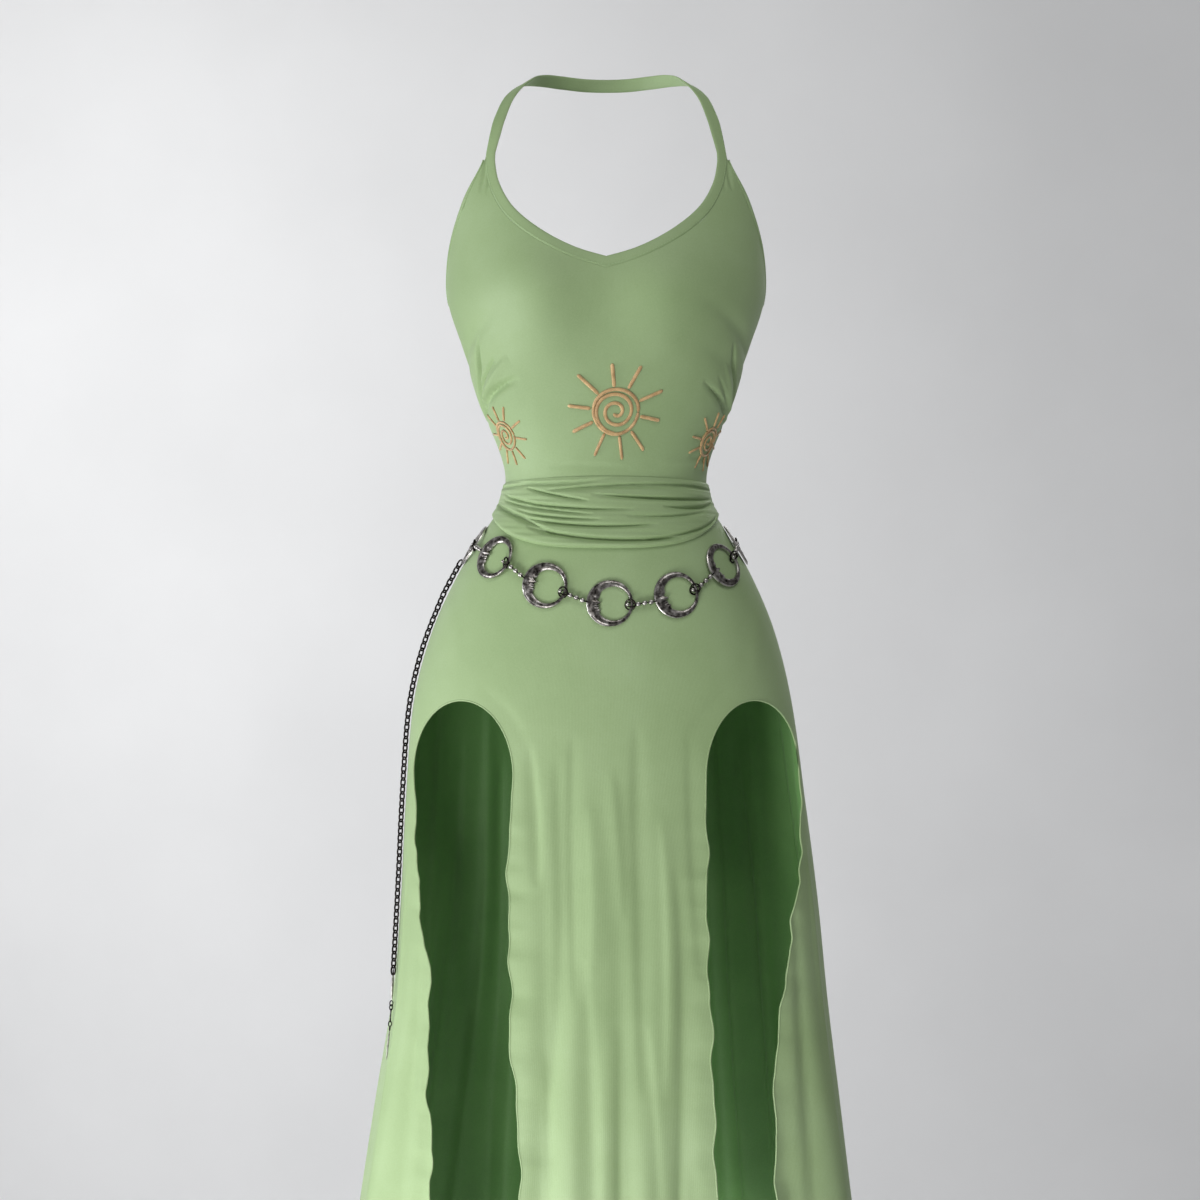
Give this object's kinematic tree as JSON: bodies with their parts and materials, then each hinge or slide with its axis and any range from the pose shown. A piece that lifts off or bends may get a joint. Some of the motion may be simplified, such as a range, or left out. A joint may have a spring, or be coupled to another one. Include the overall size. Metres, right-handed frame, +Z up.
{
  "type": "halter midi dress with its chain belt",
  "caption": "Halter midi dress, filled out as worn, with a ruched waist wrap, two arched front slits, corded suns and a hip belt of crescent rings with a hanging chain.",
  "frame": {"origin": "inner middle of the halter strap at the nape of the neck, where the wearer's neck carries the dress", "axes": "+Z up, -Y towards the front of the dress, +X to the right of the picture"},
  "size_m": [0.4786, 0.2939, 1.1563],
  "materials": {
    "jersey": "matte fine jersey knit",
    "thread": "satin cord",
    "belt_metal": "antiqued, dark in its hollows"
  },
  "bodies": {
    "root": {"bodice_front": "jersey", "bodice_back": "jersey", "halter_binding": "jersey", "back_binding": "jersey", "waist_wrap": "jersey", "skirt_front": "jersey", "skirt_back": "jersey", "sun_centre": "thread", "sun_left": "thread", "sun_right": "thread", "moon_ring_1": "belt_metal", "moon_ring_2": "belt_metal", "moon_ring_3": "belt_metal", "moon_ring_4": "belt_metal", "moon_ring_5": "belt_metal", "moon_ring_6": "belt_metal", "moon_ring_7": "belt_metal", "moon_ring_8": "belt_metal", "moon_ring_9": "belt_metal", "moon_ring_10": "belt_metal", "moon_ring_11": "belt_metal", "moon_ring_12": "belt_metal", "bead_link_1": "belt_metal", "bead_link_2": "belt_metal", "bead_link_3": "belt_metal", "bead_link_4": "belt_metal", "bead_link_5": "belt_metal", "bead_link_6": "belt_metal", "bead_link_7": "belt_metal", "bead_link_8": "belt_metal", "bead_link_9": "belt_metal", "bead_link_10": "belt_metal", "bead_link_11": "belt_metal", "bead_link_12": "belt_metal", "drop_chain": "belt_metal"}
  },
  "joints": []
}
